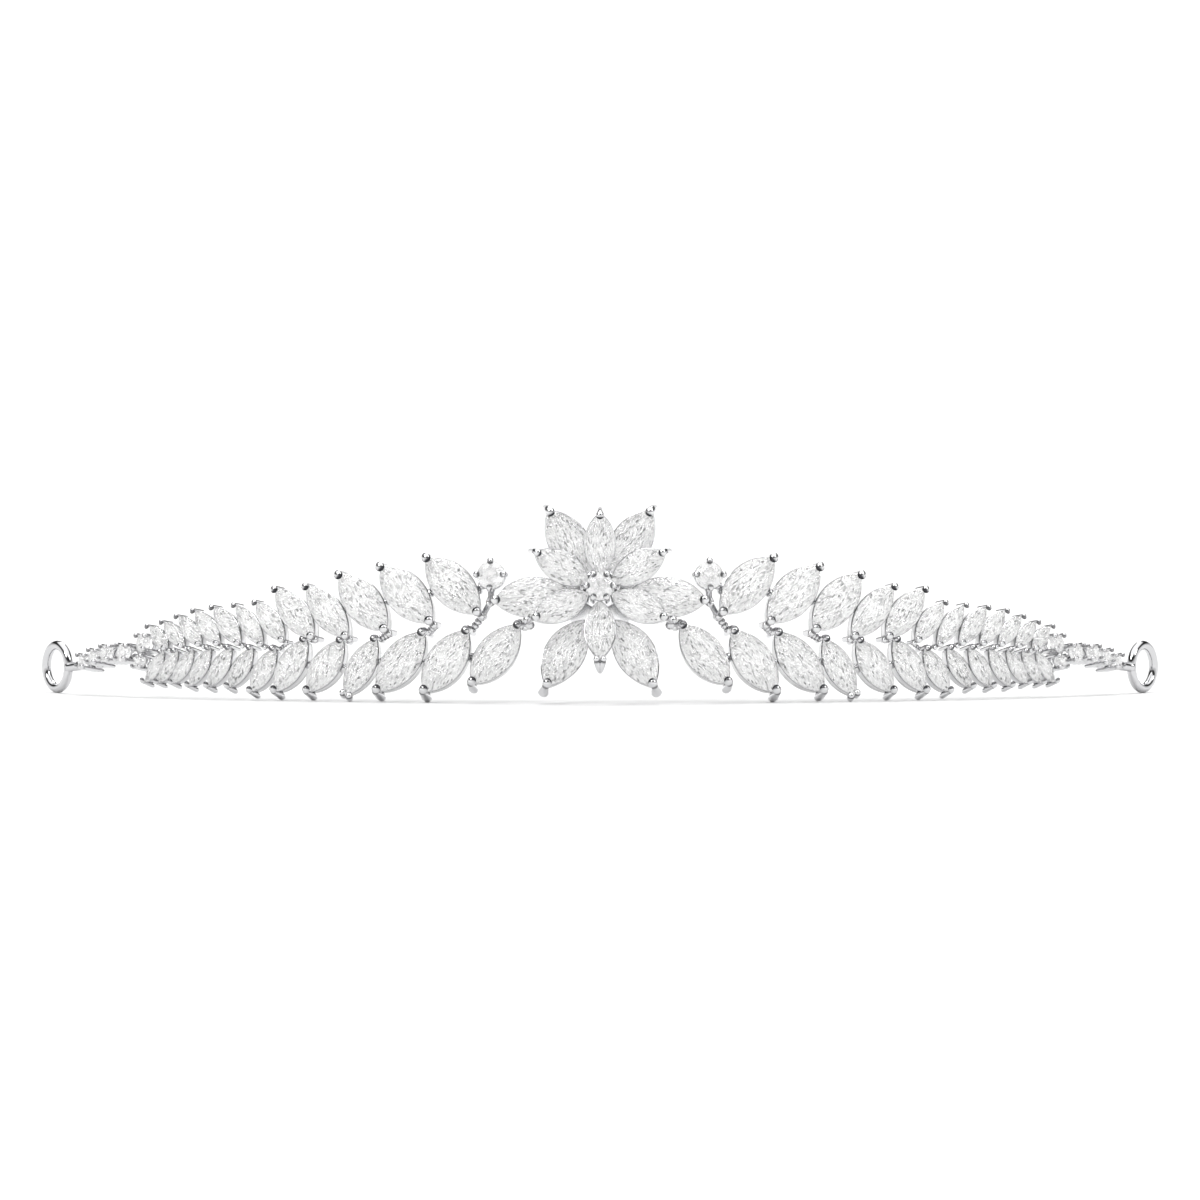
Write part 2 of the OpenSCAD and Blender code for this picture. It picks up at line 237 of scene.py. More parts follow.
def buildPiece(name, shape, material, nodes, smooth):
    # writes the arrays into a mesh in metres, which rides on the part's one body
    quads, tris = shape["quads"], shape["tris"]
    mesh = bpy.data.meshes.new(name)
    mesh.vertices.add(len(shape["points"]))
    mesh.vertices.foreach_set("co", (shape["points"] * mm).ravel())
    sizes = np.concatenate([np.full(len(quads), 4), np.full(len(tris), 3)])
    mesh.loops.add(int(sizes.sum()))
    mesh.loops.foreach_set("vertex_index", np.concatenate([quads.ravel(), tris.ravel()]))
    mesh.polygons.add(len(sizes))
    mesh.polygons.foreach_set("loop_start", np.cumsum(sizes) - sizes)
    mesh.polygons.foreach_set("use_smooth", np.full(len(sizes), smooth))
    mesh.update(calc_edges=True)
    # the painted shade goes with the mesh as a point attribute
    if "recess" in shape:
        addAttribute(mesh, "recess", "FLOAT", "value", shape["recess"])
    if "grain" in shape:
        addAttribute(mesh, "grain", "FLOAT_VECTOR", "vector", shape["grain"])
    mesh.materials.append(material)
    piece = bpy.data.objects.new(name, mesh)
    bpy.context.scene.collection.objects.link(piece)
    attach(piece, "root")
    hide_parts(*nodes)


def leafOutline(long, wide, inset, share):
    # two arcs of one radius that meet at the tips; share runs from 0 at the upper tip, down the
    # left arc, to 0.5 at the lower tip and up the right arc
    radius = (long ** 2 + wide ** 2) / (4 * wide)
    offset = radius - wide / 2
    half = math.acos(offset / (radius - inset))
    side = np.where(share < 0.5, -1.0, 1.0)
    angle = half - 2 * half * (share % 0.5) * 2
    return np.stack([side * ((radius - inset) * np.cos(angle) - offset),
                     -side * (radius - inset) * np.sin(angle)], -1)


def circleOutline(size, inset, share):
    # radius times the cosine and sine, counter-clockwise from the top
    angle = 2 * np.pi * share
    return (size / 2 - inset) * np.stack([-np.sin(angle), np.cos(angle)], -1)


def sweptWall(outline, profile, count):
    # a closed profile of (inset, level, painted shade) carried round an outline
    share = np.arange(count) / count
    insets, levels, recess = np.array(profile).T
    rows = [
        np.column_stack([outline(inset, share), np.full(count, level)])
        for inset, level in zip(insets, levels)
    ]
    return gridShape(np.stack(rows), recess, loopRows=True)


def tube(path, radii, across, recess=0.0, count=12, flat=1.0):
    # a circle carried along a path that lies in the plane square to across: at each point of the path
    # its radius times the cosine along across, and the sine along what is square to both
    along = np.gradient(path, axis=0)
    along /= np.linalg.norm(along, axis=1, keepdims=True)
    outward = np.cross(along, across)
    angle = 2 * np.pi * np.arange(count) / count
    circle = np.cos(angle)[:, None] * across + flat * np.sin(angle)[:, None] * outward[:, None]
    reach = np.broadcast_to(radii, len(path))[:, None, None]
    return gridShape(path[:, None] + reach * circle, recess, caps=True)


uprightCosine = 0.9


def squareTo(direction):
    # a unit vector square to a direction: its cross product with Z, or with X where it is nearly
    # upright
    upright = abs(direction[2]) >= uprightCosine * np.linalg.norm(direction)
    other = np.cross(direction, (1, 0, 0) if upright else (0, 0, 1))
    return other / np.linalg.norm(other)


def alongPath(path, lengths):
    # the points of a fine path at the given lengths from its start
    steps = np.linalg.norm(np.diff(path, axis=0), axis=1)
    travelled = np.concatenate([[0], np.cumsum(steps)])
    return np.stack([np.interp(lengths, travelled, path[:, i]) for i in range(3)], -1), travelled[-1]


print("shape tools ready")


# Stones

stoneCut = {
    "crown": 0.16,        # heights as shares of the stone's width
    "pavilion": 0.42,
    "girdle": 0.08,       # half the height of the edge, in millimetres
    "wideFacets": 12,     # facets round a wide stone, and round a narrow one
    "narrowFacets": 8,
    "narrowBelow": 3.0,
    "roundFacets": 8,
    # rings from the table down: share of the outline along and across, share of the crown's height
    # (above 0) or of the pavilion's (below 0), points for each facet, and turn in points
    "rings": [
        (0.58, 0.54, 1.0, 1, 0.5),
        (0.80, 0.79, 0.62, 1, 0.0),
        (1.0, 1.0, 0.0, 2, 0.0),
        (1.0, 1.0, -0.0, 2, 0.0),
        (0.86, 0.85, -0.2, 2, 0.5),
        (0.70, 0.69, -0.4, 2, 0.0),
        (0.52, 0.50, -0.6, 1, 0.5),
        (0.32, 0.30, -0.79, 1, 0.0),
    ],
}


def stitched(startA, sharesA, startB, sharesB):
    # triangles between two rings, each going round by its shares: every step along one ring makes a
    # triangle with the point that was last reached on the other
    a, b = np.arange(len(sharesA)), np.arange(len(sharesB))
    reachedB = np.searchsorted(sharesB, np.roll(sharesA, -1), side="left") - 1
    reachedA = np.searchsorted(sharesA, np.roll(sharesB, -1), side="right") - 1
    return np.concatenate([
        np.stack([startA + a, startB + reachedB % len(b), startA + np.roll(a, -1)], -1),
        np.stack([startB + b, startB + np.roll(b, -1), startA + reachedA % len(a)], -1),
    ])


def cutStone(outline, wide, facets):
    # the rings, stitched to each other and closed by a point in the table and one at the culet
    cut = stoneCut
    rings, starts, shares = [], [], []
    first = 0
    below = False
    for along, across, height, points, phase in cut["rings"]:
        below = below or math.copysign(1, height) < 0
        scale = cut["pavilion"] if below else cut["crown"]
        level = height * scale * wide + (-cut["girdle"] if below else cut["girdle"])
        share = (np.arange(points * facets) + phase) / (points * facets)
        rings.append(np.column_stack([outline(share) * (across, along), np.full(len(share), level)]))
        starts.append(first)
        shares.append(share)
        first += len(share)
    tris = [stitched(starts[i], shares[i], starts[i + 1], shares[i + 1]) for i in range(len(rings) - 1)]
    top = rings[0].mean(0)
    culet = np.array([0, 0, -cut["girdle"] - cut["pavilion"] * wide])
    table = starts[0] + np.arange(len(shares[0]))
    lowest = starts[-1] + np.arange(len(shares[-1]))
    tris.append(np.stack([np.full(len(table), first), table, np.roll(table, -1)], -1))
    tris.append(np.stack([np.full(len(lowest), first + 1), np.roll(lowest, -1), lowest], -1))
    points = np.concatenate(rings + [[top], [culet]])
    noQuads = np.zeros((0, 4), int)
    return {"points": points, "quads": noQuads, "tris": np.concatenate(tris), "grain": points}


def setStone(shape, matrix):
    # the grain keeps the stone's own axes, moved on by its place so that no two stones look alike
    return {**moved(shape, matrix), "grain": shape["grain"] + matrix[:3, 3]}


def leafStone(long, wide):
    # a leaf-shaped stone, with fewer facets where it is narrow
    facets = stoneCut["narrowFacets"] if wide < stoneCut["narrowBelow"] else stoneCut["wideFacets"]
    return cutStone(lambda share: leafOutline(long, wide, 0, share), wide, facets)


def roundStone(size):
    # a round stone
    return cutStone(lambda share: circleOutline(size, 0, share), size, stoneCut["roundFacets"])


# Settings

setting = {
    "wall": 0.35,
    "galleryShare": 0.4,  # height of a gallery for each millimetre of its stone's width
    "seat": 0.5,          # how deep the seat of a stone reaches
    "footDrop": 0.5,      # how far a claw goes on below its gallery
    "lip": 0.1,           # how far the lip stands outside the stone
    "taper": 0.055,       # inset of a gallery's foot for each millimetre of width
    "grooveShade": 0.16,  # painted shade in a gallery's groove, for each millimetre of width
    "outlineCount": 48,
    "clawShare": 0.09,    # claw's radius: a share of the stone's width and a base
    "clawBase": 0.03,
    "clawOffset": 0.5,    # claw's middle outside the stone's edge, in claw radii
    "rod": 0.4,           # radius of the rods between neighbours
}


def galleryHeight(wide):
    # a share of the stone's width
    return setting["galleryShare"] * wide


def jointLevel(wide):
    # halfway down the gallery, where the rods meet it
    return -setting["seat"] - galleryHeight(wide) / 2


def clawRadius(wide):
    # a share of the stone's width and a base
    return setting["clawShare"] * wide + setting["clawBase"]


def clawFoot(wide):
    # the level of a claw's foot, below the gallery
    return -setting["seat"] - galleryHeight(wide) - setting["footDrop"]


def halfWidth(long, wide, y):
    # how far a leaf's outline lies from its axis at y: the arc's height above its chord
    radius = (long ** 2 + wide ** 2) / (4 * wide)
    return math.sqrt(radius ** 2 - y ** 2) - (radius - wide / 2)


def gallery(long, wide):
    # a wall that follows the stone's outline, with a lip round the stone, a groove below it,
    # and a foot that draws in
    wall, seat, lip = setting["wall"], setting["seat"], setting["lip"]
    foot = -seat - galleryHeight(wide)
    taper = setting["taper"] * wide
    groove = setting["grooveShade"] * wide
    # (inset, level, painted shade): up the outside, over the lip and down the inside, darkened in the
    # groove and at the lip's outer edge
    profile = [
        (taper + 0.06, foot, 0.3),
        (taper, foot + 0.07, 0.1),
        (0.3 * taper + 0.03, -seat - 0.12, 0.1),
        (0.08, -seat + 0.02, groove),
        (0.07, -seat + 0.08, groove),
        (-0.04, -seat + 0.15, 0.3),
        (-lip, -0.26, 0.5),
        (-lip, -0.16, 0.5),
        (-0.3 * lip, -0.09, 0.0),
        (0.1, -0.13, 0.1),
        (wall - 0.05, -seat + 0.02, 0.2),
        (0.4 * taper + wall, -seat - 0.2, 0.2),
        (taper + wall, foot + 0.07, 0.2),
        (taper + wall - 0.06, foot, 0.3),
    ]
    return sweptWall(lambda inset, share: leafOutline(long, wide, inset, share), profile,
                     setting["outlineCount"])


clawShape = {
    "bendPoints": 12,
    "rise": 0.75,         # share of the height over which the claw bends
    "footRings": (25, 50, 72, 90),    # in degrees from the foot's end
    "shaftRings": 4,
    "ballRings": 8,
    "ballEnd": 162,       # the last ring of the ball, in degrees from the shaft
    "columns": 10,
    "steepest": 0.97,     # the sine of the neck's angle on the ball stays below this
    "shaftGap": 0.2,      # the shaft's rings keep this far from the foot and the ball,
    "neckGap": 0.05,      # and the neck's ring this far from the ball
    "neckShade": 0.7,     # painted shade at the neck under the ball
    "shadeFrom": 108,     # painted shade: the ball darkens over the stone from here, in degrees from the shaft
    "shadeOver": 16,
    "darkBall": 0.5,      # balls of a smaller radius are shaded less
}


def claw(foot, shaft, ball, footLevel, reach, height, flat=1.0):
    # a wire with a round foot that stands at the origin, bends inward (-Y) over the stone in a
    # quarter of an ellipse and ends in a ball; shaft and ball are radii, reach is how far the
    # ball's middle lies inside
    look = clawShape
    bend = np.linspace(0, np.pi / 2, look["bendPoints"])
    up = height * look["rise"]
    arc = [np.zeros(len(bend)), -(reach + ball) * (1 - np.cos(bend)), height - up + up * np.sin(bend)]
    path = np.concatenate([[[0, 0, footLevel]], np.column_stack(arc)])
    total = np.linalg.norm(np.diff(path, axis=0), axis=1).sum()
    footRound = np.radians(look["footRings"])
    neck = math.asin(min(look["steepest"], shaft / ball))
    ballRound = np.linspace(neck, np.radians(look["ballEnd"]), look["ballRings"])
    neckAt = total - ball * (1 + math.cos(neck))
    lengths = np.concatenate([
        foot * (1 - np.cos(footRound)),
        np.linspace(foot + look["shaftGap"], neckAt - look["shaftGap"], look["shaftRings"]),
        [neckAt - look["neckGap"]],
        total - ball * (1 + np.cos(ballRound)),
    ])
    radii = np.concatenate([
        foot * np.sin(footRound),
        np.linspace(foot, shaft, look["shaftRings"]),
        [shaft],
        ball * np.sin(ballRound),
    ])
    points, total = alongPath(path, lengths)
    # painted shade: the ball's side over the stone and the ring at its neck are darkened, less on small
    # balls
    recess = np.zeros(len(points))
    count = len(ballRound)
    dark = min(1, ball / look["darkBall"])
    shade = (np.degrees(ballRound) - look["shadeFrom"]) / look["shadeOver"]
    recess[-count:] = dark * np.clip(shade, 0, 1)
    recess[-count - 1:-count + 1] = dark * look["neckShade"]
    return tube(points, radii, np.array([1.0, 0, 0]), recess, look["columns"], flat)


def ballAt(centre, radius, rows=7, columns=10):
    # a sphere: rows of circles whose radius is the sine of the angle from the pole
    angle = np.linspace(0, np.pi, rows + 2)[1:-1]
    path = np.array(centre) + np.column_stack([np.zeros(rows), np.zeros(rows), -radius * np.cos(angle)])
    return tube(path, radius * np.sin(angle), np.array([1.0, 0, 0]), 0.0, columns)


rodShape = {
    "rings": 9,
    "ringsPerBead": 6,
    "columns": 10,
    "solder": 0.55,       # how much thicker a plain rod is at its ends
    "neck": 0.55,         # a beaded rod's radius between two beads, and what a bead adds
    "bead": 0.6,
    "shade": 0.1,         # painted shade of a plain rod, and between two beads
    "beadShade": 0.95,
}


def rod(start, end, radius=None, beads=0):
    # a straight wire that widens into its solder at both ends as a bell curve, or swells into a
    # row of beads as the size of a sine
    look = rodShape
    radius = setting["rod"] if radius is None else radius
    share = np.linspace(0, 1, look["ringsPerBead"] * beads + 1 if beads else look["rings"])
    away = np.minimum(share, 1 - share) * np.linalg.norm(end - start)
    wave = np.abs(np.sin(np.pi * beads * share))
    if beads:
        swell = look["neck"] + look["bead"] * wave
        # painted shade, darkest between the beads
        recess = look["beadShade"] * (1 - wave) ** 2
    else:
        swell = 1 + look["solder"] * np.exp(-(away / radius) ** 2)
        recess = look["shade"]
    path = start + share[:, None] * (end - start)
    return tube(path, radius * swell, squareTo(end - start), recess, look["columns"])


tipClaw = {
    "ballBase": 0.22,     # ball's radius: a base plus a share of the stone's width
    "ballShare": 0.08,
    "thin": 0.95,         # the shaft's radius at the neck, in claw radii
    "reach": 0.08,        # ball's middle inside the claw's foot, for each millimetre of width
    "height": 0.75,
    "flat": 0.85,         # its thickness along the leaf, for each millimetre across
}


def tipBall(wide):
    # the radius of a tip claw's ball
    return tipClaw["ballBase"] + tipClaw["ballShare"] * wide


def leafClaw(wide, long, pod):
    # one claw at the upper tip; pod widens its lower part
    look = tipClaw
    radius = clawRadius(wide)
    shape = claw(radius * pod, radius * look["thin"], tipBall(wide), clawFoot(wide),
                 look["reach"] * wide, look["height"], look["flat"])
    return moved(shape, shift(0, long / 2 + setting["clawOffset"] * radius, 0))


forkClaw = {
    "ball": 0.4,          # radius of each finger's end
    "spread": 0.5,        # its distance from the middle
    "inside": 0.25,       # inside the stone's tip, and above its edge
    "high": 0.3,
    "drop": 1.2,          # how far the fingers run down
    "foot": 0.8,          # half the distance between the fingers' feet, in last radii
    "crevice": (0.22, 0.3),    # painted shade in the crevice below the fingers' balls: from and to, as shares of the length
    "columns": 12,
    # share of the length and radius as a share of the ball's
    "finger": [(0.0, 0.3), (0.03, 0.62), (0.08, 0.88), (0.14, 1.0), (0.2, 0.98), (0.26, 0.9),
               (0.4, 0.92), (0.6, 0.9), (0.8, 0.6), (0.94, 0.3), (1.0, 0.1)],
}


def forkedClaw(point, reach):
    # two fingers that hold a tip from both sides and run together; point is their last radius,
    # which they round off as the root of one minus the length to the fourth, and reach is how far
    # they run out past the tip
    look = forkClaw
    share, finger = np.array(look["finger"]).T
    darkFrom, darkTo = look["crevice"]
    below = share > darkTo
    parts = []
    for side in (-1, 1):
        top = np.array([side * look["spread"], -look["inside"], look["high"]])
        foot = np.array([side * look["foot"] * point, reach, -look["drop"]])
        radii = np.maximum(look["ball"] * finger, point * np.sqrt(1 - share ** 4) * below)
        # painted shade: the finger is darkened between darkFrom and darkTo
        recess = np.where((share > darkFrom) & (share < darkTo), 1.0, 0.0)
        path = top + share[:, None] * (foot - top)
        parts.append(tube(path, radii, squareTo(foot - top), recess, look["columns"]))
    return joined(parts)


def leafSetting(long, wide, upper=1, lower=1, pods=(1.0, 1.0), fork=(0.12, 1.5)):
    # a gallery with its claws: one at a tip, or a forked one; pods widen the upper and lower claw
    parts = [gallery(long, wide)]
    for count, flip, pod in ((upper, 0, pods[0]), (lower, 180, pods[1])):
        if count == 1:
            parts.append(moved(leafClaw(wide, long, pod), turn(2, flip)))
        if count == 2:
            parts.append(moved(forkedClaw(*fork), turn(2, flip) @ shift(0, long / 2, 0)))
    return joined(parts)


roundShape = {
    "clawShare": 0.07,    # claw's radius: a share of the stone's size and a base
    "clawBase": 0.08,
    "thin": 0.95,         # the shaft's radius at the neck, and the ball's, in claw radii
    "ball": 1.35,
    "reach": 0.06,        # ball's middle inside the claw's foot, for each millimetre of size
    "height": 0.7,
    "ringRise": 1.2,      # the ring's upper edge above the claws' feet, and its height
    "ringHeight": 0.9,
    "ringCount": 32,
    "bevel": 0.08,        # of the ring's edges
    "footBevel": 0.1,
}


def roundSetting(size, depth, top, claws=4, firstAngle=45):
    # claws round a stone, their posts down to the foot, and the ring that joins them below top
    look = roundShape
    radius = look["clawShare"] * size + look["clawBase"]
    low, wall, bevel = top - look["ringHeight"], setting["wall"], look["bevel"]
    # (inset, level, painted shade): the ring's inner wall and foot are darkened
    profile = [
        (look["footBevel"], low, 0.3),
        (0, low + bevel, 0.1),
        (0, top - bevel, 0.0),
        (bevel, top, 0.0),
        (wall - bevel, top, 0.1),
        (wall, top - bevel, 0.4),
        (wall, low + bevel, 0.4),
        (wall - look["footBevel"], low, 0.4),
    ]
    ring = sweptWall(lambda inset, share: circleOutline(size, inset, share), profile, look["ringCount"])
    parts = [ring]
    away = size / 2 + setting["clawOffset"] * radius
    for angle in firstAngle + np.arange(claws) * 360 / claws:
        post = claw(radius, radius * look["thin"], radius * look["ball"], -depth, look["reach"] * size,
                    look["height"])
        parts.append(moved(post, turn(2, angle - 90) @ shift(0, away, 0)))
    return joined(parts)


def ringTop(depth):
    # the level of the upper edge of a round setting's ring
    return roundShape["ringRise"] - depth


print("setting tools ready")


# Materials

metalLook = {
    "colour": (0.71, 0.71, 0.72),
    "ringShadedColour": (0.59, 0.59, 0.6),      # of the end rings: a darker copy of the silver, painted shade
    "shadeColour": (0.05, 0.05, 0.055),
    "roughness": (0.05, 0.16),
    "litPlateColour": (0.93, 0.93, 0.94),    # of the flower's hub: a lighter copy of the silver, painted light against the petals' shade
    "plateRoughness": (0.15, 0.25),
    "grain": 900.0,       # scale, fineness, strength and depth of the surface's unevenness
    "detail": 3.0,
    "uneven": 0.12,
    "depth": 0.00004,
}
stoneLook = {
    "ior": 2.15,
    "roughness": 0.02,
    "dashes": (7.0, 2.9, 4.0),    # for each millimetre across, along and through the stone
}
# share of the light that passes through, a painted glow that keeps the depths pale, tones and depth of
# the dashes
crushedIce = {
    "clear": 0.85,
    "paintedGlow": 0.13,
    "tones": [(0.0, 0.0), (0.14, 0.2), (0.28, 0.65), (0.5, 0.97)],
    "bump": 0.0001,
}
brilliantCut = {
    "clear": 0.94,
    "paintedGlow": 0.09,
    "tones": [(0.0, 0.2), (0.16, 0.7), (0.36, 0.97)],
    "bump": 0.00004,
}


def newMaterial(name):
    # a material with its nodes, its links and its one shader
    material = bpy.data.materials.new(name)
    material.use_nodes = True
    nodes = material.node_tree.nodes
    return material, nodes, material.node_tree.links, nodes["Principled BSDF"]


def mapRange(nodes, links, source, low, high, start=0.0):
    # a value from start to 1 stretched to the range low to high
    node = nodes.new("ShaderNodeMapRange")
    node.inputs["From Min"].default_value = start
    node.inputs["To Min"].default_value = low
    node.inputs["To Max"].default_value = high
    links.new(source, node.inputs["Value"])
    return node.outputs["Result"]


def silver(name, colour, roughness):
    # bright plated metal: painted shade darkens it in its crevices, with a faint unevenness in gloss and
    # surface
    look = metalLook
    material, nodes, links, shader = newMaterial(name)
    shader.inputs["Metallic"].default_value = 1.0
    place = nodes.new("ShaderNodeTexCoord").outputs["Object"]
    # painted shade: this attribute mixes the colour towards the near-black shade colour
    depth = nodes.new("ShaderNodeAttribute")
    depth.attribute_name = "recess"
    noise = nodes.new("ShaderNodeTexNoise")
    noise.inputs["Scale"].default_value = look["grain"]
    noise.inputs["Detail"].default_value = look["detail"]
    links.new(place, noise.inputs["Vector"])
    tint = nodes.new("ShaderNodeMix")
    tint.data_type = "RGBA"
    tint.inputs["A"].default_value = (*colour, 1)
    tint.inputs["B"].default_value = (*look["shadeColour"], 1)
    links.new(depth.outputs["Fac"], tint.inputs["Factor"])
    links.new(tint.outputs["Result"], shader.inputs["Base Color"])
    links.new(mapRange(nodes, links, noise.outputs["Fac"], *roughness), shader.inputs["Roughness"])
    bump = nodes.new("ShaderNodeBump")
    bump.inputs["Strength"].default_value = look["uneven"]
    bump.inputs["Distance"].default_value = look["depth"]
    links.new(noise.outputs["Fac"], bump.inputs["Height"])
    links.new(bump.outputs["Normal"], shader.inputs["Normal"])
    return material


def crystal(name, cut):
    # clear cut stone: light bends strongly in it, and fine dashes along the stone break up its sparkle
    look = stoneLook
    material, nodes, links, shader = newMaterial(name)
    shader.inputs["Transmission Weight"].default_value = cut["clear"]
    shader.inputs["IOR"].default_value = look["ior"]
    shader.inputs["Roughness"].default_value = look["roughness"]
    # painted light: a faint white glow, though the stone is no lamp
    shader.inputs["Emission Color"].default_value = (1, 1, 1, 1)
    shader.inputs["Emission Strength"].default_value = cut["paintedGlow"]
    grain = nodes.new("ShaderNodeAttribute")
    grain.attribute_name = "grain"
    stretch = nodes.new("ShaderNodeMapping")
    stretch.inputs["Scale"].default_value = look["dashes"]
    links.new(grain.outputs["Vector"], stretch.inputs["Vector"])
    dash = nodes.new("ShaderNodeTexVoronoi")
    dash.inputs["Scale"].default_value = 1.0
    links.new(stretch.outputs["Vector"], dash.inputs["Vector"])
    ramp = nodes.new("ShaderNodeValToRGB")
    ramp.color_ramp.interpolation = "CONSTANT"
    for _ in cut["tones"][2:]:
        ramp.color_ramp.elements.new(0.5)
    for element, (position, tone) in zip(ramp.color_ramp.elements, cut["tones"]):
        element.position = position
        element.color = (tone, tone, tone, 1)
    links.new(dash.outputs["Color"], ramp.inputs["Fac"])
    links.new(ramp.outputs["Color"], shader.inputs["Base Color"])
    bump = nodes.new("ShaderNodeBump")
    bump.inputs["Strength"].default_value = 1.0
    bump.inputs["Distance"].default_value = cut["bump"]
    links.new(dash.outputs["Distance"], bump.inputs["Height"])
    links.new(bump.outputs["Normal"], shader.inputs["Normal"])
    return material


paperLook = {"roughness": 0.7, "mottle": 4.0, "tones": (0.86, 0.88)}


def paper():
    # the pale, faintly mottled surface that the tiara stands on
    material, nodes, links, shader = newMaterial("palePaper")
    shader.inputs["Roughness"].default_value = paperLook["roughness"]
    place = nodes.new("ShaderNodeTexCoord").outputs["Object"]
    noise = nodes.new("ShaderNodeTexNoise")
    noise.inputs["Scale"].default_value = paperLook["mottle"]
    links.new(place, noise.inputs["Vector"])
    tint = nodes.new("ShaderNodeValToRGB")
    for element, tone in zip(tint.color_ramp.elements, paperLook["tones"]):
        element.color = (tone, tone, tone, 1)
    links.new(noise.outputs["Fac"], tint.inputs["Fac"])
    links.new(tint.outputs["Color"], shader.inputs["Base Color"])
    return material


metal = silver("platedSilver", metalLook["colour"], metalLook["roughness"])
# a darker copy of the plated silver: painted shade on the end rings
shadedRingMetal = silver("shadedRingSilver", metalLook["ringShadedColour"], metalLook["roughness"])
# a lighter copy of the plated silver: painted light on the hub, which lies in the petals' shade
litPlateMetal = silver("litPlateSilver", metalLook["litPlateColour"], metalLook["plateRoughness"])
crushed = crystal("crushedIceCrystal", crushedIce)
brilliant = crystal("brilliantCrystal", brilliantCut)
print("materials ready")


# The stones, one piece for each node

def stonePiece(node, shape, material):
    # one piece that stands for one node of stones, with flat facets
    buildPiece(node + "_cut", shape, material, [node], smooth=False)


def petalAt(petal, level):
    # a petal's stone in its place
    return setStone(leafStone(petal[2], petal[3]), petalPlace(petal, level))


def leafAt(leaf, pitch):
    # a leaf's stone in its place
    return setStone(leafStone(leaf[3], leaf[4]), leafPlace(leaf, pitch))


def roundAt(stone):
    # a round stone in its place
    return setStone(roundStone(stone[2]), roundPlace(stone))


leafRows = (("upper", upperLeaves, band["upperPitch"]), ("lower", lowerLeaves, band["lowerPitch"]))
centrePlace = flowerPlace() @ shift(0, 0, flower["centreLevel"])
stonePiece("centre_stone", setStone(roundStone(flower["centreSize"]), centrePlace), brilliant)
for i, petal in enumerate(frontPetals):
    stonePiece(f"front_petal_{i + 1}", petalAt(petal, flower["frontLevel"]), crushed)
for i, petal in enumerate(backPetals):
    stonePiece(f"back_petal_{i + 1}", petalAt(petal, 0), crushed)
for side in sides:
    stonePiece(f"side_stone_{side}", onSide(roundAt(sideRound), side), brilliant)
    for i in range(ownLeaves):
        for rowName, leaves, pitch in leafRows:
            stonePiece(f"{rowName}_leaf_{side}_{i + 1}", onSide(leafAt(leaves[i], pitch), side), crushed)
    small = [leafAt(leaf, pitch) for _, leaves, pitch in leafRows for leaf in leaves[ownLeaves:]]
    stonePiece(f"small_leaves_{side}", onSide(joined(small), side), crushed)
    rounds = joined([roundAt(stone) for stone in endRounds])
    stonePiece(f"end_rounds_{side}", onSide(rounds, side), brilliant)
print("stones cut")


# The frame's pieces, and spots in them

def metalPiece(name, shape, finish):
    # one piece of the frame, with smooth faces
    buildPiece(name, shape, finish, ["frame"], smooth=True)


def leafSpot(leaf, pitch, point):
    # a point of a leaf's own frame
    return spot(leafPlace(leaf, pitch), point)


def clawSpot(leaf, pitch, end):
    # the middle of a tip's claw where the rods meet it: end is 1 for the upper tip, -1 for the lower
    away = leaf[3] / 2 + setting["clawOffset"] * clawRadius(leaf[4])
    return leafSpot(leaf, pitch, (0, end * away, jointLevel(leaf[4])))


def sideSpot(leaf, pitch, side, y):
    # the middle of a gallery's wall at y, on the side 1 or -1
    x = halfWidth(leaf[3], leaf[4], y) - setting["wall"] / 2
    return leafSpot(leaf, pitch, (side * x, y, jointLevel(leaf[4])))


def rimSpot(stone, angle, top):
    # the middle of a round setting's ring: its radius times the angle's cosine and sine
    rim = stone[2] / 2 - setting["wall"] / 2
    along, across = math.cos(math.radians(angle)), math.sin(math.radians(angle))
    return spot(roundPlace(stone), (rim * along, rim * across, top - roundShape["ringHeight"] / 2))


def bearing(stone, other):
    # the direction from one setting to another along the band, from the difference of their
    # azimuths as an arc and of their heights
    across = band["radius"] * math.radians(other[0] - stone[0])
    return math.degrees(math.atan2(other[1] - stone[1], across))


def sideJoint(leaf, other, pitch):
    # the rod where two neighbours' outlines come closest: halfway between them, along their lean
    lean = math.radians(leaf[2])
    across = band["radius"] * math.radians(other[0] - leaf[0])
    y = (across * math.sin(lean) + (other[1] - leaf[1]) * math.cos(lean)) / 2
    return rod(sideSpot(leaf, pitch, 1, y), sideSpot(other, pitch, -1, -y))


# The rows of leaf settings

leafRow = {
    "doubleClawLeaf": 3,  # the lower leaf whose lower tip has two claws
    "crossing": 6,        # an upper leaf before this one is linked to the lower leaf one further out
    "pod": 1.55,          # how much wider the feet of the claws that point down are
    "bluntFork": (0.5, 0.25),   # the doubled claw's last radius, and its reach past the tip
    "knuckle": 0.75,      # the ball at an upper leaf's lower claw: its radius in ball radii, how
    "knuckleOut": 0.9,    # far it stands out from the tip in ball radii, and how low it lies
    "knuckleDrop": 0.15,
    "linkBeads": 4,
}


def upperRow():
    # the settings of the upper row, a knuckle at each lower tip, and the rods between neighbours
    parts = []
    pitch = band["upperPitch"]
    for leaf in upperLeaves:
        place = leafPlace(leaf, pitch)
        radius = tipBall(leaf[4])
        away = leaf[3] / 2 + leafRow["knuckleOut"] * radius
        knuckle = ballAt((0, -away, -leafRow["knuckleDrop"]), leafRow["knuckle"] * radius)
        parts.append(moved(leafSetting(leaf[3], leaf[4]), place))
        parts.append(moved(knuckle, place))
    for leaf, other in zip(upperLeaves, upperLeaves[1:]):
        parts.append(sideJoint(leaf, other, pitch))
    return joined(parts)


